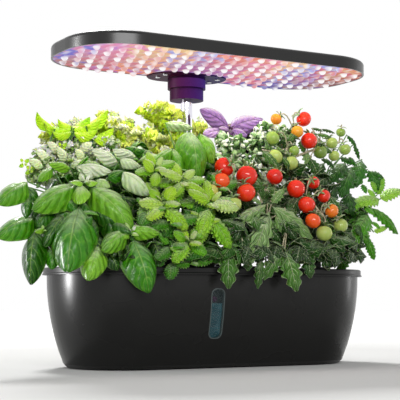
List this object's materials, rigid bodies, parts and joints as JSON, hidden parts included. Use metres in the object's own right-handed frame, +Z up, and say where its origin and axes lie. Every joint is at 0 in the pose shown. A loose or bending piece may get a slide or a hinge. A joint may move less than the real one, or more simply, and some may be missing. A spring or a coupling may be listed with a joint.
{
  "type": "countertop hydroponic garden",
  "caption": "Countertop hydroponic garden: an oblong black water tank and planting deck full of herbs and tomatoes under an oval LED grow lamp on a telescopic pole.",
  "frame": {"origin": "centre of the underside of the middle foot pad, on the table", "axes": "+X along the tank to the right, +Y away from the front with the level window, +Z up"},
  "size_m": [0.551, 0.2053, 0.362],
  "materials": {
    "tank_plastic": "moulded, semi-gloss",
    "deck_plastic": "moulded, satin",
    "foot_rubber": "moulded, matt",
    "gasket_rubber": "moulded, matt",
    "clear_lens": "moulded, clear",
    "water": "liquid, clear",
    "black_plastic": "moulded, satin",
    "float_plastic": "moulded, gloss",
    "basket_plastic": "moulded, satin",
    "peat_sponge": "open foam",
    "circuit_board": "solder resist",
    "screw_steel": "plated",
    "pole_chrome": "polished",
    "copper_winding": "enamelled wire",
    "filter_foam": "open foam",
    "riser_rubber": "moulded, smooth",
    "impeller_plastic": "moulded",
    "magnet": "sintered",
    "button_plastic": "moulded, satin",
    "plug_brass": "turned",
    "hub_plastic": "moulded, gloss",
    "lamp_plastic": "moulded, semi-gloss",
    "led_panel": "moulded, milky",
    "spreader_aluminium": "rolled",
    "basil_leaf": "leaf",
    "mint_leaf": "leaf",
    "parsley_leaf": "leaf",
    "lettuce_leaf": "leaf",
    "purple_leaf": "leaf",
    "feathery_leaf": "leaf",
    "vine_leaf": "leaf",
    "ripe_fruit": "fruit skin",
    "dark_leaf": "leaf",
    "sprig_leaf": "leaf"
  },
  "bodies": {
    "tank": {"tank_shell": "tank_plastic", "foot_pads": "foot_rubber", "window_gasket": "gasket_rubber", "window_lens": "clear_lens", "gauge_water": "water", "float_guide": "black_plastic"},
    "float": {"level_float": "float_plastic"},
    "deck": {"deck_lid": "deck_plastic", "front_baskets": "basket_plastic", "middle_baskets": "basket_plastic", "back_baskets": "basket_plastic", "grow_sponges": "peat_sponge", "console_cover": "deck_plastic", "control_board": "circuit_board", "light_pipes": "clear_lens", "power_inlet": "black_plastic", "console_screws": "screw_steel", "pole_socket": "deck_plastic", "pole_outer": "pole_chrome", "outer_bush": "black_plastic", "pump_hanger": "black_plastic", "pump_housing": "black_plastic", "pump_coil": "copper_winding", "pump_cover": "black_plastic", "pump_filter": "filter_foam", "riser_tube": "riser_rubber", "impeller_shaft": "screw_steel", "flap_pin": "screw_steel", "basil_left": "basil_leaf", "basil_centre": "basil_leaf", "mint": "mint_leaf", "parsley": "parsley_leaf", "lettuce": "lettuce_leaf", "purple_basil": "purple_leaf", "thyme": "feathery_leaf", "tomato_vine": "vine_leaf", "tomato_fruit": "ripe_fruit", "pepper": "dark_leaf", "oregano": "sprig_leaf"},
    "impeller": {"impeller": "impeller_plastic", "rotor_magnet": "magnet"},
    "flap": {"fill_flap": "deck_plastic"},
    "light_key": {"light_button": "button_plastic"},
    "pump_key": {"pump_button": "button_plastic"},
    "mode_key": {"mode_button": "button_plastic"},
    "spare_pod": {"spare_basket": "basket_plastic", "spare_sponge": "peat_sponge", "spare_cap": "button_plastic"},
    "middle_tube": {"pole_middle": "pole_chrome", "middle_bush": "black_plastic"},
    "inner_tube": {"pole_inner": "pole_chrome", "pole_plug": "plug_brass"},
    "lamp": {"hub_sleeve": "hub_plastic", "hub_flange": "hub_plastic", "lamp_cover": "lamp_plastic", "lens_panel": "led_panel", "led_board": "circuit_board", "heat_spreader": "spreader_aluminium", "lamp_driver": "circuit_board", "lamp_screws": "screw_steel"}
  },
  "joints": [
    {"name": "deck_lift", "type": "slide", "parent": "tank", "child": "deck", "axis": [0, 0, 1], "range_m": [0, 0.13]},
    {"name": "float_rise", "type": "slide", "parent": "tank", "child": "float", "axis": [0, -0.1574, 0.9875], "range_m": [-0.032, 0.008]},
    {"name": "impeller_spin", "type": "hinge", "parent": "deck", "child": "impeller", "pos_m": [0, 0.005, 0.02], "axis": [0, 0, 1], "continuous": true},
    {"name": "flap_hinge", "type": "hinge", "parent": "deck", "child": "flap", "pos_m": [0, -0.0465, 0.1133], "axis": [-1, 0, 0], "range_deg": [0, 100]},
    {"name": "light_key_press", "type": "slide", "parent": "deck", "child": "light_key", "axis": [0, 0, -1], "range_m": [0, 0.0008], "stiffness_N_per_m": 800, "springref_m": -0.0005},
    {"name": "pump_key_press", "type": "slide", "parent": "deck", "child": "pump_key", "axis": [0, 0, -1], "range_m": [0, 0.0008], "stiffness_N_per_m": 800, "springref_m": -0.0005},
    {"name": "mode_key_press", "type": "slide", "parent": "deck", "child": "mode_key", "axis": [0, 0, -1], "range_m": [0, 0.0008], "stiffness_N_per_m": 800, "springref_m": -0.0005},
    {"name": "spare_pod_lift", "type": "slide", "parent": "deck", "child": "spare_pod", "axis": [0, 0, 1], "range_m": [0, 0.056]},
    {"name": "middle_tube_slide", "type": "slide", "parent": "deck", "child": "middle_tube", "axis": [0, 0, 1], "range_m": [0, 0.085]},
    {"name": "inner_tube_slide", "type": "slide", "parent": "middle_tube", "child": "inner_tube", "axis": [0, 0, 1], "range_m": [-0.025, 0.055]},
    {"name": "lamp_lift", "type": "slide", "parent": "inner_tube", "child": "lamp", "axis": [0, 0, 1], "range_m": [0, 0.03]}
  ]
}
